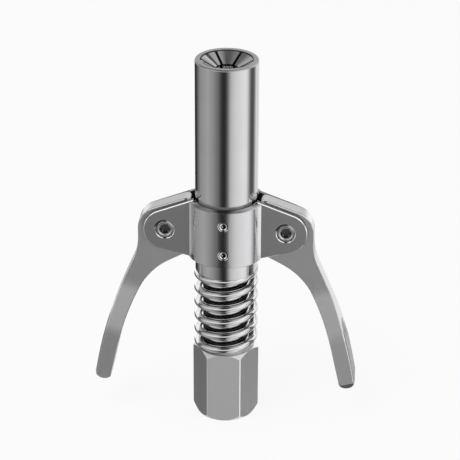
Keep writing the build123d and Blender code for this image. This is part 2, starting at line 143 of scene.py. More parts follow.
class CouplerFinishes(bpy.types.PropertyGroup):
    """Base colours of the coupler's finishes, some of them painted light and shade."""

    plated: colour("Bright plating", (0.61, 0.61, 0.62), "Sleeve, collar, its screws, springs")
    rim: colour("Worn rim", (0.37, 0.37, 0.375), "Rims of the sleeve and the collar, and the knurl")
    # The recess colour is painted shade: near-black laid where shade and shadow fall, in bores,
    # seams, gaps, sockets and the coil's inside.
    painted_shade: colour("Greasy recess", (0.05, 0.05, 0.05), "Bores, seams, collar screws' sockets")
    # The dull colour is partly painted shade: it darkens the pivot screws' sockets and the lever
    # tops beside the ears, and it also colours the ears' narrow faces and the right grip's end.
    dull: colour("Dull end", (0.15, 0.15, 0.155), "Right grip's end, narrow faces, pivot sockets")
    # The edge colour is partly painted highlight: it brightens the hex's bevelled corners and the
    # screws' rims and paints light into the jaws' pocket. On the stem under the spring it is real
    # polish.
    edge: colour("Handled edge", (0.85, 0.85, 0.86), "Edges that handling keeps bright")
    # The bright colour is painted highlight: on the collar beside each ear, on the lever tops by
    # the sleeve, on the hex's bevels and on the coil's left side.
    bright: colour("Rubbed bright", (1.0, 1.0, 1.0), "Places that rubbing keeps the brightest")
    # Only the right grip's face takes this lighter colour.
    satin: colour("Satin plating", (0.74, 0.74, 0.75), "Bracket ears and pivot screws")
    cast: colour("Tumbled plating", (0.62, 0.62, 0.63), "Levers, and the ends of their grips")
    lighter_grip: colour("Handled grip", (0.68, 0.68, 0.69), "Face of the right grip")
    flecked: colour("Flecked teeth", (0.3, 0.3, 0.305), "Dull flecks on the knurl's teeth")
    # Painted shade: the valleys between the knurl's teeth are painted near-black.
    valley_shade: colour("Knurl valleys", (0.06, 0.06, 0.065), "Between the knurl's teeth")
    # Painted light: the front and rear flats of the hex are painted lighter.
    worn: colour("Worn flats", (0.80, 0.80, 0.81), "Front and rear flats of the wrench hex")
    # Painted shade: the left flats of the hex are painted darker.
    shaded_flats: colour("Stained flats", (0.47, 0.47, 0.48), "Left flats of the wrench hex")
    milled: colour("Milled hex", (0.56, 0.56, 0.57), "Wrench hex")
    ground: colour("Ground steel", (0.38, 0.38, 0.39), "Jaws and the collar's top")
    turned: colour("Turned steel", (0.57, 0.57, 0.58), "Stem, seal carrier, thread")
    brass: colour("Brass", (0.72, 0.50, 0.22), "Valve seat and seal follower")
    rubber: colour("Nitrile rubber", (0.022, 0.022, 0.024), "Seal cup")


class StudioSettings(bpy.types.PropertyGroup):
    """Camera, floor and light."""

    camera_place: location("Camera place", (35.94, -463.9, 285.33), "Where the camera stands")
    camera_target: location("Camera target", (1.02, 0.08, 56.04), "Point in the picture's middle")
    camera_roll: number(
        "Camera roll", radians(0.25), "Turn about the line of sight", unit="ROTATION"
    )
    camera_lens: number("Lens", 148.775, "Focal length on a 36 mm sensor")
    floor_radius: size("Floor radius", 3000, "Half the width of the pale floor")
    floor_paint: number("Floor paint", 0.92, "Grey of the floor's paint")
    floor_shade: number("Floor shade", 0.12, "Share of the floor that takes shadow", min=0, max=1)
    backdrop: number("Backdrop", 0.975, "Brightness behind the coupler")
    fill_light: number("Fill light", 0.8, "Level of the soft light all round")
    mirror_light: number("Mirror light", 1.4, "Brightness of the studio that the metal mirrors")
    lamp_place: location("Lamp place", (-250, -300, 650), "Where the lamp hangs")
    lamp_width: size("Lamp width", 450, "Diameter of the soft lamp")
    lamp_power: number("Lamp power", 1.5, "Watts of the soft lamp")


class Nodes:
    """Short way to build the node tree of one material or world."""

    def __init__(self, tree):
        self.tree = tree

    def add(self, kind, **settings):
        node = self.tree.nodes.new("ShaderNode" + kind)
        for key, value in settings.items():
            setattr(node, key, value)
        return node

    def put(self, value, socket):
        """Link an output to the socket, or set a plain value on it."""
        if isinstance(value, bpy.types.NodeSocket):
            self.tree.links.new(value, socket)
        else:
            socket.default_value = value

    def math(self, operation, first, second=0.0):
        node = self.add("Math", operation=operation)
        self.put(first, node.inputs[0])
        self.put(second, node.inputs[1])
        return node.outputs[0]

    def ramped(self, value, low, high, start=0.0, end=1.0):
        """Smooth step of value from low to high, rescaled to run from start to end."""
        node = self.add("MapRange", interpolation_type="SMOOTHSTEP")
        for socket, given in zip(node.inputs, (value, low, high, start, end)):
            self.put(given, socket)
        return node.outputs[0]

    def over(self, value, low, high):
        """Mask that rises from 0 to 1 as value goes from low to high."""
        return self.ramped(value, low, high)

    def under(self, value, low, high):
        """Mask that falls from 1 to 0 as value goes from low to high."""
        return self.ramped(value, low, high, 1.0, 0.0)

    def both(self, *masks):
        """Product of masks or numbers, which for masks is 1 where all of them are."""
        product, *others = masks
        for mask in others:
            product = self.math("MULTIPLY", product, mask)
        return product

    def turning(self, angle, levels):
        """Grey by an angle in radians, through levels, pairs of an angle in degrees and a level."""
        turn = self.add("MapRange")
        for socket, given in zip(turn.inputs, (angle, -pi, pi, 0.0, 1.0)):
            self.put(given, socket)
        ramp = self.add("ValToRGB")
        self.put(turn.outputs[0], ramp.inputs[0])
        elements = ramp.color_ramp.elements
        while len(elements) > 1:
            elements.remove(elements[-1])
        for index, (at, level) in enumerate(levels):
            share = (at + 180) / 360
            element = elements[0] if index == 0 else elements.new(share)
            element.position = share
            element.color = grey(level)
        return ramp.outputs[0]

    def blend(self, share, first, second):
        """Colour between first and second."""
        node = self.add("Mix", data_type="RGBA")
        self.put(share, node.inputs[0])
        self.put(first, node.inputs[6])
        self.put(second, node.inputs[7])
        return node.outputs[2]

    def mixed(self, share, first, second):
        """Shader node between two others."""
        node = self.add("MixShader")
        for socket, value in zip(node.inputs, (share, first.outputs[0], second.outputs[0])):
            self.put(value, socket)
        return node

    def scaled(self, vector, share):
        """Vector or colour times a number."""
        node = self.add("VectorMath", operation="SCALE")
        self.put(vector, node.inputs[0])
        self.put(share, node.inputs["Scale"])
        return node.outputs[0]

    def between(self, share, first, second):
        """Number between first and second."""
        node = self.add("Mix", data_type="FLOAT")
        self.put(share, node.inputs[0])
        self.put(first, node.inputs[2])
        self.put(second, node.inputs[3])
        return node.outputs[0]

    def place(self):
        """Point on the piece, in metres in the coupler's frame."""
        return self.add("TexCoord").outputs["Object"]

    def apart(self, vector):
        """The three parts of a vector."""
        node = self.add("SeparateXYZ")
        self.put(vector, node.inputs[0])
        return node.outputs

    def spot(self):
        """The x, y and z of the point on the piece."""
        return self.apart(self.place())

    def vector(self, x, y, z):
        """Vector from its three parts."""
        node = self.add("CombineXYZ")
        for socket, part in zip(node.inputs, (x, y, z)):
            self.put(part, socket)
        return node.outputs[0]

    def facing(self, axis):
        """How squarely the surface faces either way along an axis, from 0 to 1."""
        return self.math("ABSOLUTE", self.apart(self.add("TexCoord").outputs["Normal"])[axis])

    def distance(self, first, second):
        """Distance from an axis, given the offsets from it in two directions."""
        squares = [self.math("MULTIPLY", offset, offset) for offset in (first, second)]
        return self.math("SQRT", self.math("ADD", *squares))

    def leaning(self, lean):
        """The surface's normal, leant over by a vector."""
        total = self.add("VectorMath", operation="ADD")
        self.put(self.add("NewGeometry").outputs["Normal"], total.inputs[0])
        self.put(lean, total.inputs[1])
        unit = self.add("VectorMath", operation="NORMALIZE")
        self.put(total.outputs[0], unit.inputs[0])
        return unit.outputs[0]

    def bumped(self, height, strength, depth, normal=None):
        """The normal, given or the surface's own, roughened by a height of 0 to 1 times depth."""
        bump = self.add("Bump")
        bump.inputs["Strength"].default_value = strength
        bump.inputs["Distance"].default_value = depth
        self.put(height, bump.inputs["Height"])
        if normal:
            self.put(normal, bump.inputs["Normal"])
        return bump.outputs[0]

    def noise(self, scales, detail=3.0, roughness=0.5):
        """Noise whose features repeat about scales times a metre along each axis."""
        mapping = self.add("Mapping")
        self.put(self.place(), mapping.inputs["Vector"])
        mapping.inputs["Scale"].default_value = scales
        noise = self.add("TexNoise")
        self.put(mapping.outputs[0], noise.inputs["Vector"])
        noise.inputs["Scale"].default_value = 1.0
        noise.inputs["Detail"].default_value = detail
        noise.inputs["Roughness"].default_value = roughness
        return noise.outputs["Fac"]


def grey(level):
    """Neutral colour, as a four-part value."""
    return (level, level, level, 1.0)


def tinted(tint, share):
    """Colour with each channel times share, as a four-part value."""
    return (tint[0] * share, tint[1] * share, tint[2] * share, 1.0)


def blank_nodes(block):
    """Emptied node tree of a material or world."""
    block.use_nodes = True
    block.node_tree.nodes.clear()
    return Nodes(block.node_tree)


def blank_finish(name):
    """Empty node material with its surface shader. Gives the material, its nodes and the shader."""
    material = bpy.data.materials.new(name)
    nodes = blank_nodes(material)
    surface = nodes.add("BsdfPrincipled")
    output = nodes.add("OutputMaterial")
    nodes.put(surface.outputs[0], output.inputs[0])
    return material, nodes, surface


def metal(name, finish, roughness, grain, depth, mottle=0.08, areas=None, rounding=None):
    """Plated or machined metal in one of the coupler's finishes.

    grain is the fine tool marks' scale along each axis and depth their height. areas
    lists, from the nodes, masks of 0 to 1, each with the finish and roughness where it is 1.
    rounding gives, from the nodes, the lean that polishing has given the surface.
    """
    finishes = bpy.context.scene.coupler_finishes
    tint = getattr(finishes, finish)
    material, nodes, surface = blank_finish(name)
    surface.inputs["Metallic"].default_value = 1.0
    patches = nodes.noise((210, 210, 150), 4.0, 0.6)
    marks = nodes.noise(grain, 4.0, 0.6)
    base = nodes.blend(patches, tinted(tint, 1 - mottle), tinted(tint, 1 + mottle / 2))
    rough = nodes.ramped(marks, 0.3, 0.7, roughness * 0.8, roughness * 1.2)
    for mask, area_finish, area_roughness in areas(nodes) if areas else ():
        base = nodes.blend(mask, base, tinted(getattr(finishes, area_finish), 1.0))
        rough = nodes.between(mask, rough, area_roughness)
    leant = nodes.leaning(rounding(nodes)) if rounding else None
    nodes.put(base, surface.inputs["Base Color"])
    nodes.put(rough, surface.inputs["Roughness"])
    nodes.put(nodes.bumped(marks, 0.5, depth, leant), surface.inputs["Normal"])
    return material


def middle_of(name):
    """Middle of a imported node's box."""
    low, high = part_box(name)
    return (low + high) / 2


def dress(names, material):
    """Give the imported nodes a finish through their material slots."""
    for name in names:
        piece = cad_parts[name]
        if not piece.material_slots:
            piece.data.materials.append(material)
        for slot in piece.material_slots:
            slot.material = material


def new_object(name, data):
    """Put a mesh, camera or lamp in the scene."""
    thing = bpy.data.objects.new(name, data)
    bpy.context.scene.collection.objects.link(thing)
    return thing


def new_piece(name, shape, material, body, smooth_angle=None):
    """Turn a bmesh into a piece that rides on a body."""
    mesh = bpy.data.meshes.new(name)
    bmesh.ops.recalc_face_normals(shape, faces=shape.faces)
    shape.to_mesh(mesh)
    shape.free()
    if smooth_angle is not None:
        mesh.shade_smooth()
        mesh.set_sharp_from_angle(angle=smooth_angle)
    mesh.materials.append(material)
    piece = new_object(name, mesh)
    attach(piece, body)
    return piece


def coil_rise(turn, bottom, top, coil):
    """Height of a spring wire's middle, with turn counted from where it first passes the front."""
    climb = top - bottom - coil.foot_rise - coil.head_rise
    if turn < 0:
        return bottom + coil.foot_rise * (1 + turn / coil.end_turns)
    if turn > coil.turns:
        return top - coil.head_rise * (1 - (turn - coil.turns) / coil.end_turns)
    return bottom + coil.foot_rise + climb * turn / coil.turns


def wire_ring(shape, turn, radius, bottom, top, coil):
    """Ring of points round a spring's wire, square to its run, with the climb's changes eased."""
    points_round_wire = 28
    ahead = 0.01
    easing = [share / 36 for share in range(-2, 3)]
    height, height_ahead = (
        sum(coil_rise(turn + ease + shift, bottom, top, coil) for ease in easing) / len(easing)
        for shift in (0, ahead)
    )
    azimuth = FRONT_AZIMUTH + 2 * pi * turn
    out = Vector((cos(azimuth), sin(azimuth), 0))
    run = Vector((-sin(azimuth), cos(azimuth), 0)) * 2 * pi * radius * ahead
    run.z = height_ahead - height
    across = run.normalized().cross(out)
    middle = out * radius + Vector((0, 0, height))
    ring = []
    for point in range(points_round_wire):
        around = 2 * pi * point / points_round_wire
        offset = (out * cos(around) + across * sin(around)) * coil.wire / 2
        ring.append(shape.verts.new(middle + offset))
    return ring


def join_rings(shape, rings):
    """Skin a row of rings of points, closed at both ends."""
    for ring, following in zip(rings, rings[1:]):
        for point in range(len(ring)):
            after = (point + 1) % len(ring)
            shape.faces.new((ring[point], ring[after], following[after], following[point]))
    shape.faces.new(rings[0])
    shape.faces.new(reversed(rings[-1]))


def coil_shape(radius, bottom, top, coil):
    """Round wire wound right-hand, with its ends ground flat at bottom and top."""
    steps_per_turn = 64
    wound = coil.turns + 2 * coil.end_turns
    steps = ceil(wound * steps_per_turn)
    shape = bmesh.new()
    rings = [
        wire_ring(shape, -coil.end_turns + wound * step / steps, radius, bottom, top, coil)
        for step in range(steps + 1)
    ]
    join_rings(shape, rings)
    for height, up in ((bottom, -1), (top, 1)):
        everything = shape.verts[:] + shape.edges[:] + shape.faces[:]
        cut = bmesh.ops.bisect_plane(
            shape, geom=everything, plane_co=(0, 0, height), plane_no=(0, 0, up), clear_outer=True
        )
        rim = [part for part in cut["geom_cut"] if isinstance(part, bmesh.types.BMEdge)]
        bmesh.ops.edgeloop_fill(shape, edges=rim)
    return shape


def coil_radius(node, wire):
    """Radius to the middle of the wire of a packed spring."""
    low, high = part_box(node)
    return (high.x - low.x - wire) / 2


def wind_spring(node, material, coil):
    """Spring that stands for a packed one, fixed to the root."""
    low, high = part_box(node)
    shape = coil_shape(coil_radius(node, coil.wire), low.z, high.z, coil)
    piece = new_piece(node + "_coil", shape, material, "root", radians(40))
    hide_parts(node)
    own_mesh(piece)


class COUPLER_OT_set_stage(bpy.types.Operator):
    """Set up the camera, the pale floor, the soft lamp and the studio's light"""

    bl_idname = "coupler.set_stage"
    bl_label = "Set Stage"

    def execute(self, context):
        studio = context.scene.coupler_studio
        set_camera(context, studio)
        lay_floor(studio)
        hang_lamp(studio)
        light_world(context, studio)
        context.scene.view_settings.view_transform = "Standard"
        return {"FINISHED"}


def set_camera(context, studio):
    """Camera at the photograph's viewpoint."""
    data = bpy.data.cameras.new("camera")
    data.sensor_width = 36.0
    data.lens = studio.camera_lens
    data.clip_start = 0.01
    data.clip_end = 20.0
    camera = new_object("camera", data)
    place = Vector(studio.camera_place)
    sight = Vector(studio.camera_target) - place
    turn = sight.to_track_quat("-Z", "Y").to_matrix()
    roll = Matrix.Rotation(studio.camera_roll, 3, "Z")
    camera.matrix_world = Matrix.Translation(place) @ (turn @ roll).to_4x4()
    context.scene.camera = camera


def lay_floor(studio):
    """Wide pale floor that takes a faint shadow and leaves the reflections to the studio."""
    shape = bmesh.new()
    bmesh.ops.create_circle(shape, cap_ends=True, radius=studio.floor_radius, segments=96)
    mesh = bpy.data.meshes.new("floor")
    shape.to_mesh(mesh)
    shape.free()
    floor = new_object("floor", mesh)
    material = bpy.data.materials.new("pale_floor")
    nodes = blank_nodes(material)
    light_path = nodes.add("LightPath")
    paint = nodes.add("BsdfDiffuse")
    paint.inputs["Color"].default_value = grey(studio.floor_paint)
    glow = nodes.add("Emission")
    glow.inputs["Color"].default_value = grey(1.0)
    glow.inputs["Strength"].default_value = studio.backdrop
    clear = nodes.add("BsdfTransparent")
    seen = nodes.math("MULTIPLY", light_path.outputs["Is Camera Ray"], 1 - studio.floor_shade)
    painted = nodes.mixed(seen, paint, glow)
    mirrored = nodes.mixed(light_path.outputs["Is Glossy Ray"], painted, clear)
    output = nodes.add("OutputMaterial")
    nodes.put(mirrored.outputs[0], output.inputs[0])
    floor.data.materials.append(material)


def hang_lamp(studio):
    """Soft lamp above and to the left, aimed at the origin and kept out of the reflections."""
    data = bpy.data.lights.new("soft_lamp", "AREA")
    data.energy = studio.lamp_power
    data.shape = "DISK"
    data.size = studio.lamp_width
    lamp = new_object("soft_lamp", data)
    lamp.location = studio.lamp_place
    lamp.rotation_euler = (-lamp.location).to_track_quat("-Z", "Y").to_euler()
    lamp.visible_glossy = False
    lamp.visible_camera = False


# Level of the upright cards by azimuth in degrees from the front, positive to the right
CARD_LEVELS = [
    (-180, 0.4), (-169, 0.95), (-161, 0.3), (-152, 0.03), (-138, 0.02), (-128, 0.08), (-118, 0.18),
    (-104, 0.29), (-68, 0.395), (-45, 0.29), (-25, 0.145), (-16, 0.055), (-9, 0.025),
    (-2, 0.025), (4, 0.06), (11, 0.21), (17, 0.42), (24, 0.57), (36, 0.69), (70, 0.85), (82, 0.80),
    (90, 0.48), (96, 0.25), (103, 0.09), (113, 0.085), (121, 0.16), (128, 0.40), (136, 0.68),
    (144, 0.78), (152, 0.50), (160, 0.85), (174, 0.3),
]
# The same all round between the cards and the horizon
OPEN_CARD_LEVELS = [
    (-180, 0.35), (-167, 0.95), (-150, 0.8), (-138, 0.12), (-125, 0.3), (-90, 0.5), (-30, 0.4),
    (0, 0.35), (40, 0.7), (85, 0.95), (105, 0.25), (130, 0.7), (150, 1.0), (165, 0.9), (180, 0.35),
]
# Level of the strips of light by angle in degrees, 0 at the front horizon and 90 overhead
FRONT_STRIPS = [
    (-180, 0.9), (-30, 0.8), (0, 0.55), (10, 0.8), (22, 0.9), (38, 0.9), (46, 0.25), (57, 0.25),
    (60, 0.95), (67, 0.95), (70, 0.3), (92, 0.38),
]
REAR_STRIPS = [(158, 0.62), (165, 0.5), (180, 0.9)]
STRIP_LEVELS = FRONT_STRIPS + [
    (106, 0.3), (118, 0.2), (128, 0.25), (138, 0.42), (150, 0.62),
] + REAR_STRIPS
# The same to the right of the middle, where bars of light cross the strips behind the overhead
RIGHT_BAR_LEVELS = FRONT_STRIPS + [
    (98, 0.5), (104, 0.66), (121, 0.66), (126, 0.12), (134, 0.12),
    (139, 1.0), (146, 1.0), (151, 0.62),
] + REAR_STRIPS
# Levels of the dark patch over the front, the panel at the right and what lies beyond the panel
PATCH_LEVEL = 0.03
PANEL_LEVEL = 1.0
BEYOND_PANEL_LEVEL = 0.45


def light_world(context, studio):
    """Studio seen in the metal: upright cards all round, long strips of light above."""
    world = bpy.data.worlds.new("studio")
    context.scene.world = world
    nodes = blank_nodes(world)
    world.cycles.sampling_method = "NONE"
    x, y, z = nodes.apart(nodes.add("TexCoord").outputs["Generated"])
    front = nodes.math("MULTIPLY", y, -1.0)
    azimuth = nodes.math("ARCTAN2", x, front)
    climb = nodes.math("ARCSINE", z)
    low_half = nodes.blend(
        nodes.under(climb, radians(-17), radians(-10)),
        nodes.turning(azimuth, OPEN_CARD_LEVELS),
        nodes.turning(azimuth, CARD_LEVELS),
    )
    above_horizon = nodes.over(climb, radians(-6), radians(6))
    strips = light_strips(nodes, x, nodes.math("ARCTAN2", z, front))
    studio_light = nodes.scaled(nodes.blend(above_horizon, low_half, strips), studio.mirror_light)
    light_path = nodes.add("LightPath")
    mirrored = nodes.math(
        "MAXIMUM", light_path.outputs["Is Glossy Ray"], light_path.outputs["Is Transmission Ray"]
    )
    around = nodes.blend(mirrored, grey(studio.fill_light), studio_light)
    seen = nodes.blend(light_path.outputs["Is Camera Ray"], around, grey(studio.backdrop))
    background = nodes.add("Background")
    nodes.put(seen, background.inputs["Color"])
    output = nodes.add("OutputWorld")
    nodes.put(background.outputs[0], output.inputs[0])


def light_strips(nodes, x, overhead):
    """Strips of light above the horizon, by the share to the right and the angle overhead."""
    right_of_middle = nodes.both(nodes.over(x, 0.0, 0.12), nodes.under(x, 0.55, 0.62))
    strips = nodes.blend(
        right_of_middle,
        nodes.turning(overhead, STRIP_LEVELS),
        nodes.turning(overhead, RIGHT_BAR_LEVELS),
    )
    patch_middle = -0.08
    off_middle = nodes.math("ABSOLUTE", nodes.math("SUBTRACT", x, patch_middle))
    patch = nodes.both(
        nodes.under(off_middle, 0.1, 0.45),
        nodes.over(overhead, radians(20), radians(27)),
        nodes.under(overhead, radians(90), radians(103)),
    )
    strips = nodes.blend(patch, strips, grey(PATCH_LEVEL))
    strips = nodes.blend(nodes.over(x, 0.5, 0.7), strips, grey(PANEL_LEVEL))
    return nodes.blend(nodes.over(x, 0.85, 0.97), strips, grey(BEYOND_PANEL_LEVEL))


class COUPLER_OT_finish_sleeve(bpy.types.Operator):
    """Bright turned plating for the sleeve, with a duller rim"""

    bl_idname = "coupler.finish_sleeve"
    bl_label = "Finish Sleeve"

    def execute(self, context):
        material = metal("sleeve_plating", "plated", 0.1, (300, 300, 9000), 1e-6, areas=rim_and_painted_shade)
        dress(["sleeve_tube"], material)
        return {"FINISHED"}


def rim_and_painted_shade(nodes):
    """A flat rim at the sleeve's very top, painted shadow just over the collar, and a bore painted
    dark as shade.
    """
    sizes = bpy.context.scene.coupler_sizes
    collar_top, mouth = sizes.collar_top, sizes.mouth_radius
    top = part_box("sleeve_tube")[1].z
    x, y, z = nodes.spot()
    over_collar = nodes.both(
        nodes.over(z, collar_top - 0.1 * MM, collar_top),
        nodes.ramped(z, collar_top, collar_top + 1.2 * MM, 0.6, 0.0),
    )
    bore = nodes.under(nodes.distance(x, y), mouth - 0.04 * MM, mouth - 0.02 * MM)
    return [
        (nodes.over(z, top - 0.42 * MM, top - 0.3 * MM), "rim", 0.3),
        # Painted shadow: the sleeve is darkened just over the collar, fading upward.
        (over_collar, "painted_shade", 0.2),
        # Painted shade: the bore is painted near-black.
        (bore, "painted_shade", 0.6),
    ]


class COUPLER_OT_finish_brackets(bpy.types.Operator):
    """Bright collar with a duller top, and satin ears, for the bracket halves"""

    bl_idname = "coupler.finish_brackets"
    bl_label = "Finish Brackets"

    def execute(self, context):
        material = metal(
            "bracket_plating", "plated", 0.1, (4000, 4000, 9000), 1e-6,
            areas=bracket_parts, rounding=rounded_top,
        )
        dress(["front_bracket", "rear_bracket"], material)
        return {"FINISHED"}


def collar_masks(nodes):
    """Masks of the bracket at its collar's flat top, and of what reaches out past the collar."""
    sizes = bpy.context.scene.coupler_sizes
    top, radius = sizes.collar_top, sizes.collar_radius
    x, y, z = nodes.spot()
    at_top = nodes.over(z, top - 0.06 * MM, top - 0.03 * MM)
    past_collar = nodes.over(nodes.distance(x, y), radius + 0.06 * MM, radius + 0.1 * MM)
    return at_top, past_collar


def bracket_parts(nodes):
    """The collar's painted highlight band by each ear, worn shoulder and top, and its seam with
    the sleeve painted dark as a shadow.

    Then the ears, which rise higher or reach further out, with satin broad faces and dull
    narrow ones, painted shade on the sides of the slot between the halves, and the painted
    shadow crescents at the pivot screws.
    """
    sizes = bpy.context.scene.coupler_sizes
    top, sleeve = sizes.collar_top, sizes.sleeve_radius
    slot = -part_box("front_bracket")[1].y
    x, y, z = nodes.spot()
    squarely, level = nodes.facing("Y"), nodes.facing("Z")
    at_top, past_collar = collar_masks(nodes)
    shoulder = nodes.both(
        nodes.over(z, top - 0.25 * MM, top - 0.2 * MM), nodes.over(level, 0.3, 0.5)
    )
    seam = nodes.under(nodes.distance(x, y), sleeve + 0.1 * MM, sleeve + 0.2 * MM)
    raised = nodes.over(z, top + 0.05 * MM, top + 0.1 * MM)
    ears = nodes.math("MAXIMUM", raised, past_collar)
    # Painted shade: the sides of the slot between the halves are painted near-black.
    slot_side = nodes.under(nodes.math("ABSOLUTE", y), slot + 0.15 * MM, slot + 0.2 * MM)
    # Painted highlight: a bright band on the collar beside each ear.
    beside_ear = nodes.both(
        nodes.over(nodes.math("ABSOLUTE", x), sleeve + 0.2 * MM, sleeve + 0.8 * MM),
        nodes.under(level, 0.1, 0.2),
        nodes.under(ears, 0.0, 1.0),
    )
    return [
        (beside_ear, "bright", 0.35),
        (shoulder, "rim", 0.25),
        (at_top, "ground", 0.12),
        # Painted shadow: the collar's top is painted near-black along the seam with the sleeve.
        (nodes.both(at_top, seam), "painted_shade", 0.6),
        (ears, "edge", 0.15),
        (nodes.both(ears, nodes.over(squarely, 0.9, 0.95)), "satin", 0.32),
        (nodes.both(ears, nodes.under(squarely, 0.1, 0.2)), "dull", 0.3),
        (slot_side, "painted_shade", 0.6),
        # Painted shadow: a dark crescent at each pivot screw.
        (pivot_painted_shadows(nodes, x, z), "painted_shade", 0.6),
    ]


def pivot_painted_shadows(nodes, x, z):
    """Mask of the painted shadow in a crescent at the upper left of each pivot screw's head."""
    pivot = middle_of("right_pivot_screw")
    across = nodes.math("SUBTRACT", x, nodes.both(nodes.math("SIGN", x), pivot.x))
    up = nodes.math("SUBTRACT", z, pivot.z)
    reach = nodes.distance(across, up)
    left, rise = 0.53, 0.85
    toward = nodes.math("SUBTRACT", nodes.both(up, rise), nodes.both(across, left))
    return nodes.both(
        nodes.over(nodes.math("DIVIDE", toward, reach), 0.62, 0.85),
        nodes.under(reach, 2.95 * MM, 3.05 * MM),
    )


def rounded_top(nodes):
    """Polishing has rounded the collar's top outward, away from the sleeve."""
    lean, lean_radius = 0.7, 9.6 * MM
    x, y, _ = nodes.spot()
    at_top, past_collar = collar_masks(nodes)
    on_collar = nodes.math("SUBTRACT", 1.0, past_collar)
    flat = nodes.over(nodes.facing("Z"), 0.9, 0.99)
    share = nodes.both(at_top, on_collar, flat, lean / lean_radius)
    return nodes.scaled(nodes.vector(x, y, 0.0), share)


class COUPLER_OT_finish_levers(bpy.types.Operator):
    """Tumbled satin plating for the levers"""

    bl_idname = "coupler.finish_levers"
    bl_label = "Finish Levers"

    def execute(self, context):
        grain = (5000, 5000, 5000)
        material = metal("lever_plating", "cast", 0.45, grain, 1e-6, 0.03, wear_and_painted_light)
        dress([side + "_lever" for side in SIDES], material)
        return {"FINISHED"}


def wear_and_painted_light(nodes):
    """Handling smooths all but the broad faces, and the right grip's face is lighter.

    The bevelled ends of the grips stay dull, the right one darker. By the sleeve the tops
    carry a painted highlight and the inner ends painted shade, and a painted shadow line
    darkens the tops beside the ears.
    """
    x, y, z = nodes.spot()
    squarely = nodes.facing("Y")
    right = nodes.over(x, 0.0, 1.0 * MM)
    grip = nodes.under(z, 25.5 * MM, 27.0 * MM)
    grip_end = nodes.both(
        nodes.under(squarely, 0.95, 0.96), nodes.under(z, 11.9 * MM, 12.1 * MM)
    )
    by_sleeve = nodes.under(nodes.math("ABSOLUTE", x), 9.9 * MM, 10.1 * MM)
    high = nodes.over(z, 63.5 * MM, 64.0 * MM)
    inner_end = nodes.over(nodes.facing("X"), 0.6, 0.7)
    beside_ears = nodes.both(
        nodes.over(z, 60.0 * MM, 61.0 * MM),
        nodes.over(nodes.facing("Z"), 0.7, 0.8),
        nodes.over(nodes.math("ABSOLUTE", y), 1.9 * MM, 2.0 * MM),
    )
    return [
        (nodes.both(right, grip), "lighter_grip", 0.45),
        (nodes.under(squarely, 0.8, 0.9), "plated", 0.2),
        (grip_end, "cast", 0.4),
        (nodes.both(grip_end, right), "dull", 0.4),
        # Painted highlight: the tops by the sleeve are painted bright.
        (nodes.both(by_sleeve, high), "bright", 0.5),
        # Painted shade: the inner ends by the sleeve are painted near-black.
        (nodes.both(by_sleeve, inner_end), "painted_shade", 0.6),
        # Painted shadow: a dark line along the tops beside the ears.
        (beside_ears, "dull", 0.4),
    ]


class COUPLER_OT_knurl_grips(bpy.types.Operator):
    """Diamond knurl on the outer face of each lever's grip"""

    bl_idname = "coupler.knurl_grips"
    bl_label = "Knurl Grips"

    def execute(self, context):
        grain = (6000, 6000, 6000)
        material = metal("knurl_plating", "rim", 0.2, grain, 1e-6, areas=flecks_and_painted_valley_shade)
        for name, side in SIDES.items():
            lever = name + "_lever"
            shape = knurl_shape(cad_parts[lever], side, context.scene.coupler_sizes)
            new_piece(name + "_grip_knurl", shape, material, lever)
        return {"FINISHED"}


def flecks_and_painted_valley_shade(nodes):
    """Flecks dull the teeth, and painted shade darkens the valleys between them."""
    flecks = nodes.noise((1400, 1400, 600), 2.0)
    tooth = nodes.add("Attribute", attribute_name="tooth").outputs["Fac"]
    return [
        (nodes.over(flecks, 0.45, 0.6), "flecked", 0.3),
        # Painted shade in the valleys between the teeth.
        (nodes.under(tooth, 0.05, 0.45), "valley_shade", 0.4),
    ]


def grip_line(lever, side, low, high, step):
    """Points and outward directions up a grip's outer face, in the middle of its width."""
    clear_of_grip = 0.1
    line = []
    height = low
    while height <= high:
        start = Vector((side * clear_of_grip, 0, height))
        hit, place, normal, _ = lever.ray_cast(start, Vector((-side, 0, 0)))
        if not hit:
            raise RuntimeError("the knurl found no grip at height " + str(height))
        line.append((place, normal))
        height += step * sqrt(1 - normal.z**2)
    return line


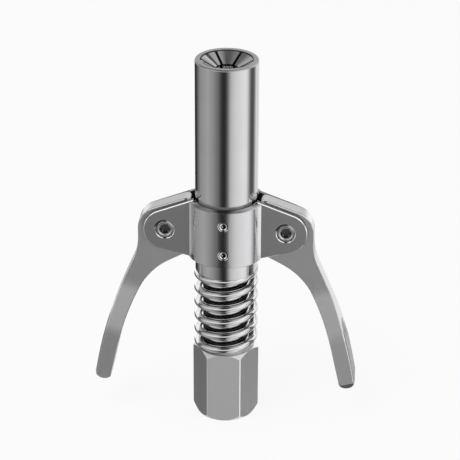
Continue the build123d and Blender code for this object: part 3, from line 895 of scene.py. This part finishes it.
def knurl_shape(lever, side, sizes):
    """Pyramids in a diamond pattern, in a field with an arched upper end."""
    step = sizes.knurl_pitch / 2
    line = grip_line(lever, side, sizes.knurl_bottom, sizes.knurl_top, step)
    knurl_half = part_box(lever.name)[1].y - sizes.knurl_margin
    just_sunk, least_share = 0.01 * MM, 0.1
    shape = bmesh.new()
    tooth = shape.verts.layers.float.new("tooth")
    corner_points = {}

    def half_width(height):
        """Half the knurl's width at a height, from the grip's own width."""
        into_arch = max(0.0, height - sizes.knurl_top + sizes.knurl_arch) / sizes.knurl_arch
        return knurl_half * sqrt(max(0.0, 1 - into_arch**2))

    def lifted(row, column, lift):
        """New point at a place in the pattern, lifted off the grip's face."""
        place, normal = line[row]
        return shape.verts.new(place + Vector((0, column * step, 0)) + normal * lift)

    def corner_point(corner, lift):
        """Corner of a diamond, kept so that its neighbours share it."""
        if (corner, lift) not in corner_points:
            corner_points[corner, lift] = lifted(*corner, lift)
        return corner_points[corner, lift]

    columns = ceil(knurl_half / step)
    outline = {}
    for row in range(1, len(line) - 1):
        for column in range(-columns, columns + 1):
            reach = (abs(column) + 1) * step
            if (row + column) % 2 or reach > half_width(line[row + 1][0].z):
                continue
            corners = [(row - 1, column), (row, column + 1), (row + 1, column), (row, column - 1)]
            to_tip = (sizes.knurl_top - line[row][0].z) / sizes.knurl_arch
            peak = lifted(row, column, sizes.knurl_height * max(least_share, min(1.0, to_tip)))
            peak[tooth] = 1.0
            top = [corner_point(corner, -just_sunk) for corner in corners]
            bottom = [corner_point(corner, -sizes.knurl_root) for corner in corners]
            for index in range(4):
                after = (index + 1) % 4
                shape.faces.new((top[index], top[after], peak))
                edge = (corners[index], corners[after])
                if not outline.pop(edge[::-1], False):
                    outline[edge] = True
            shape.faces.new(bottom[::-1])
    for first, second in outline:
        foot = [corner_point(corner, -sizes.knurl_root) for corner in (first, second)]
        head = [corner_point(corner, -just_sunk) for corner in (second, first)]
        shape.faces.new(foot + head)
    return shape


class COUPLER_OT_finish_hex(bpy.types.Operator):
    """Milled flats with painted highlights on the edges and painted light and shade on the flats,
    for the wrench hex
    """

    bl_idname = "coupler.finish_hex"
    bl_label = "Finish Hex"

    def execute(self, context):
        grain = (5000, 5000, 900)
        material = metal("hex_plating", "milled", 0.44, grain, 2e-6, 0.04, painted_light_on_hex)
        dress(["hex_body"], material)
        return {"FINISHED"}


def painted_light_on_hex(nodes):
    """Painted light brightens the front and rear flats, and painted shade darkens the left ones.

    The painted highlights on the bevelled corners lie further out than any flat, and painted
    highlights cover the sloping bevels.
    """
    flats_end = 9.1 * MM
    x, y, _ = nodes.spot()
    radius, slope = nodes.distance(x, y), nodes.facing("Z")
    left_flats = nodes.both(
        nodes.under(x, -4.7 * MM, -4.6 * MM),
        nodes.under(radius, flats_end - 0.03 * MM, flats_end - 0.01 * MM),
        nodes.under(slope, 0.05, 0.1),
    )
    return [
        # Painted light: the front and rear flats are painted lighter than the rest.
        (nodes.over(nodes.facing("Y"), 0.8, 0.9), "worn", 0.5),
        # Painted highlights: the bevelled corners and the sloping bevels are painted bright.
        (nodes.over(radius, flats_end + 0.01 * MM, flats_end + 0.03 * MM), "edge", 0.3),
        (nodes.over(slope, 0.1, 0.2), "bright", 0.6),
        # Painted shade: the left flats are painted darker.
        (left_flats, "shaded_flats", 0.44),
    ]


class COUPLER_OT_cut_inlet_thread(bpy.types.Operator):
    """Pipe thread in the inlet at the hex's bottom"""

    bl_idname = "coupler.cut_inlet_thread"
    bl_label = "Cut Inlet Thread"

    def execute(self, context):
        material = metal("thread_cut", "turned", 0.25, (4000, 4000, 9000), 1e-6)
        shape = thread_shape(context.scene.coupler_sizes)
        new_piece("inlet_thread", shape, material, "root", radians(30))
        return {"FINISHED"}


def thread_shape(sizes):
    """Helical ridge on the inlet's wall that fades out at both ends."""
    steps_per_turn = 60
    fade_turns, least_fade = 0.4, 0.02
    half_foot, half_crest = 0.46 * sizes.thread_pitch, 0.06 * sizes.thread_pitch
    turns = (sizes.thread_end - sizes.thread_start) / sizes.thread_pitch
    steps = ceil(turns * steps_per_turn)
    root = sizes.inlet_radius + 0.02 * MM
    shape = bmesh.new()
    rings = []
    for step in range(steps + 1):
        turn = turns * step / steps
        fade = max(least_fade, min(1.0, turn / fade_turns, (turns - turn) / fade_turns))
        azimuth = 2 * pi * turn
        out = Vector((cos(azimuth), sin(azimuth), 0))
        height = sizes.thread_start + sizes.thread_pitch * turn
        crest = sizes.inlet_radius - sizes.thread_depth * fade
        wide, narrow = half_foot * fade, half_crest * fade
        profile = [(root, -wide), (crest, -narrow), (crest, narrow), (root, wide)]
        places = [out * radius + Vector((0, 0, height + up)) for radius, up in profile]
        rings.append([shape.verts.new(place) for place in places])
    join_rings(shape, rings)
    return shape


class COUPLER_OT_finish_stem(bpy.types.Operator):
    """Turned steel for the stem and the seal carrier"""

    bl_idname = "coupler.finish_stem"
    bl_label = "Finish Stem"

    def execute(self, context):
        grain = (300, 300, 4000)
        material = metal("turned_steel", "turned", 0.07, grain, 1e-7, 0.03, under_spring)
        dress(["stem", "seal_carrier"], material)
        return {"FINISHED"}


def under_spring(nodes):
    """The spring keeps the stem polished between the hex and the sleeve."""
    foot, head = (end.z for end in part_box("main_spring"))
    z = nodes.spot()["Z"]
    above, below = nodes.over(z, foot - 0.2 * MM, foot), nodes.under(z, head, head + 0.2 * MM)
    return [(nodes.both(above, below), "edge", 0.03)]


class COUPLER_OT_finish_jaws(bpy.types.Operator):
    """Ground steel for the jaws"""

    bl_idname = "coupler.finish_jaws"
    bl_label = "Finish Jaws"

    def execute(self, context):
        grain = (3000, 3000, 9000)
        dress(JAWS, metal("jaw_steel", "ground", 0.08, grain, 5e-7, areas=throat_painted_shade_and_light))
        return {"FINISHED"}


def throat_painted_shade_and_light(nodes):
    """Under the funnel the throat is painted dark as shade, and the pocket below it is painted
    light and made rough.
    """
    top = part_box(JAWS[0])[1].z
    x, y, z = nodes.spot()
    inside = nodes.under(nodes.distance(x, y), 3.5 * MM, 3.6 * MM)
    throat = nodes.under(z, top - 2.4 * MM, top - 2.3 * MM)
    pocket = nodes.under(z, top - 3.1 * MM, top - 2.9 * MM)
    return [
        # Painted shade: the throat under the funnel is painted near-black.
        (nodes.both(throat, inside), "painted_shade", 0.6),
        # Painted light: the pocket below the throat is painted light to stand in for light reaching
        # it.
        (nodes.both(pocket, inside), "edge", 0.9),
    ]


class COUPLER_OT_finish_screws(bpy.types.Operator):
    """Plated socket screws at the pivots and in the collar"""

    bl_idname = "coupler.finish_screws"
    bl_label = "Finish Screws"

    def execute(self, context):
        for name in PIVOT_SCREWS + BRACKET_SCREWS:
            in_collar = name in BRACKET_SCREWS
            finish = "plated" if in_collar else "satin"
            rounding = hollow_bevel(name) if in_collar else None
            material = metal(
                name + "_plating", finish, 0.32, (7000, 7000, 7000), 2e-7,
                areas=socket_painted_light_and_shade(name, in_collar), rounding=rounding,
            )
            dress([name], material)
        return {"FINISHED"}


def socket_painted_light_and_shade(name, in_collar):
    """Areas of a screw: its rim, painted bright as a highlight, and its socket, which lies deeper
    than its head's face and is painted dark as shade.

    A collar screw's painted socket shade is shifted to one side, and a painted shadow rings it.
    """
    middle = middle_of(name)
    low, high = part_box(name)
    outward, face = (1, high.y) if name.startswith("rear") else (-1, low.y)
    # The collar screws' painted socket shade is shifted 0.2 mm sideways, as a painted reflection.
    width, shift = (0.75 * MM, 0.2 * MM) if in_collar else (1.55 * MM, 0.0)

    def areas(nodes):
        x, y, z = nodes.spot()
        aside = nodes.math("SUBTRACT", x, middle.x)
        above = nodes.math("SUBTRACT", z, middle.z)
        worn = nodes.math("SUBTRACT", aside, shift)
        depth = nodes.both(nodes.math("SUBTRACT", y, face), -outward)
        # Painted shade: the socket is painted dark.
        socket = nodes.both(
            nodes.under(nodes.distance(worn, above), width - 0.05 * MM, width),
            nodes.over(depth, 0.22 * MM, 0.35 * MM),
        )
        # Painted highlight: the rim is painted in the bright edge colour.
        rim = nodes.under(nodes.facing("Y"), 0.85, 0.95)
        if not in_collar:
            return [(rim, "edge", 0.4), (socket, "dull", 0.6)]
        # Painted shadow: a near-black ring round the collar screw's socket.
        radius = nodes.distance(aside, above)
        around = nodes.both(
            nodes.over(radius, 0.98 * MM, 1.02 * MM), nodes.under(radius, 1.26 * MM, 1.3 * MM)
        )
        return [(rim, "edge", 0.12), (around, "painted_shade", 0.4), (socket, "painted_shade", 0.6)]

    return areas


def hollow_bevel(name):
    """Lean of a collar screw's bevel, which peening has turned inward all round."""
    middle = middle_of(name)
    turned_in, bevel_radius = 1.4, 1.35 * MM

    def lean(nodes):
        x, _, z = nodes.spot()
        aside = nodes.math("SUBTRACT", middle.x, x)
        above = nodes.math("SUBTRACT", middle.z, z)
        bevel = nodes.over(nodes.distance(aside, above), 1.2 * MM, 1.22 * MM)
        share = nodes.both(bevel, turned_in / bevel_radius)
        return nodes.scaled(nodes.vector(aside, 0.0, above), share)

    return lean


class COUPLER_OT_finish_valves(bpy.types.Operator):
    """Ball, brass seat and follower, and the rubber seal"""

    bl_idname = "coupler.finish_valves"
    bl_label = "Finish Valves"

    def execute(self, context):
        dress(["check_ball"], metal("ball_polish", "plated", 0.05, (3000, 3000, 3000), 5e-7))
        brass = metal("turned_brass", "brass", 0.22, (400, 400, 9000), 1e-6)
        dress(["check_seat", "seal_follower"], brass)
        material, nodes, surface = blank_finish("seal_rubber")
        grain = nodes.noise((9000, 9000, 9000))
        rubber = context.scene.coupler_finishes.rubber
        tint = nodes.blend(grain, tinted(rubber, 0.8), tinted(rubber, 1.3))
        nodes.put(tint, surface.inputs["Base Color"])
        nodes.put(nodes.ramped(grain, 0.3, 0.7, 0.45, 0.62), surface.inputs["Roughness"])
        nodes.put(nodes.bumped(grain, 0.4, 5e-6), surface.inputs["Normal"])
        dress(["seal_cup"], material)
        return {"FINISHED"}


class COUPLER_OT_wind_springs(bpy.types.Operator):
    """Main spring, inlet check spring and seal spring"""

    bl_idname = "coupler.wind_springs"
    bl_label = "Wind Springs"

    def execute(self, context):
        sizes = context.scene.coupler_sizes
        grain = (1500, 1500, 1500)
        material = metal("main_spring_plating", "plated", 0.04, grain, 1e-7, 0.03, painted_light_on_coil)
        rises = sizes.main_foot_rise, sizes.main_head_rise
        coil = Coil(sizes.main_wire, sizes.main_turns, *rises, sizes.end_turns)
        wind_spring("main_spring", material, coil)
        material = metal("small_spring_plating", "plated", 0.1, grain, 1e-7)
        wire = sizes.check_wire
        coil = Coil(wire, sizes.check_turns, wire, wire, sizes.end_turns)
        wind_spring("check_spring", material, coil)
        wire = sizes.seal_wire
        coil = Coil(wire, sizes.seal_turns, wire, wire, sizes.end_turns)
        wind_spring("seal_spring", material, coil)
        return {"FINISHED"}


def painted_light_on_coil(nodes):
    """Painted shade darkens the inside of the coil, and a painted highlight brightens its left
    side.
    """
    mean_radius = coil_radius("main_spring", bpy.context.scene.coupler_sizes.main_wire)
    x, y, _ = nodes.spot()
    radius = nodes.distance(x, y)
    # Painted shade: the inside of the coil is painted near-black.
    inside = nodes.under(radius, mean_radius - 0.4 * MM, mean_radius - 0.1 * MM)
    # Painted highlight: the coil's left side is painted bright.
    left_highlight = nodes.under(x, -7.3 * MM, -6.9 * MM)
    return [(inside, "painted_shade", 0.4), (left_highlight, "bright", 0.04)]


class COUPLER_PT_dressing(bpy.types.Panel):
    """Coupler dressing tools"""

    bl_label = "Grease Coupler"
    bl_idname = "COUPLER_PT_dressing"
    bl_space_type = "VIEW_3D"
    bl_region_type = "UI"
    bl_category = "Coupler"

    def draw(self, context):
        layout = self.layout
        for operator in OPERATORS:
            layout.operator(operator.bl_idname)
        for group_name in GROUPS:
            group = getattr(context.scene, group_name)
            box = layout.box()
            for name in group.__annotations__:
                box.prop(group, name)


OPERATORS = (
    COUPLER_OT_set_stage,
    COUPLER_OT_finish_sleeve,
    COUPLER_OT_finish_brackets,
    COUPLER_OT_finish_levers,
    COUPLER_OT_knurl_grips,
    COUPLER_OT_finish_hex,
    COUPLER_OT_cut_inlet_thread,
    COUPLER_OT_finish_stem,
    COUPLER_OT_finish_jaws,
    COUPLER_OT_finish_screws,
    COUPLER_OT_finish_valves,
    COUPLER_OT_wind_springs,
)
GROUPS = {
    "coupler_sizes": CouplerSizes,
    "coupler_finishes": CouplerFinishes,
    "coupler_studio": StudioSettings,
}


def register():
    for group_name, group in GROUPS.items():
        bpy.utils.register_class(group)
        setattr(bpy.types.Scene, group_name, PointerProperty(type=group))
    for operator in OPERATORS:
        bpy.utils.register_class(operator)
    bpy.utils.register_class(COUPLER_PT_dressing)


def unregister():
    bpy.utils.unregister_class(COUPLER_PT_dressing)
    for operator in reversed(OPERATORS):
        bpy.utils.unregister_class(operator)
    for group_name, group in GROUPS.items():
        delattr(bpy.types.Scene, group_name)
        bpy.utils.unregister_class(group)


def main():
    register()
    for operator in OPERATORS:
        area, name = operator.bl_idname.split(".")
        getattr(getattr(bpy.ops, area), name)()


if __name__ == "__main__":
    main()
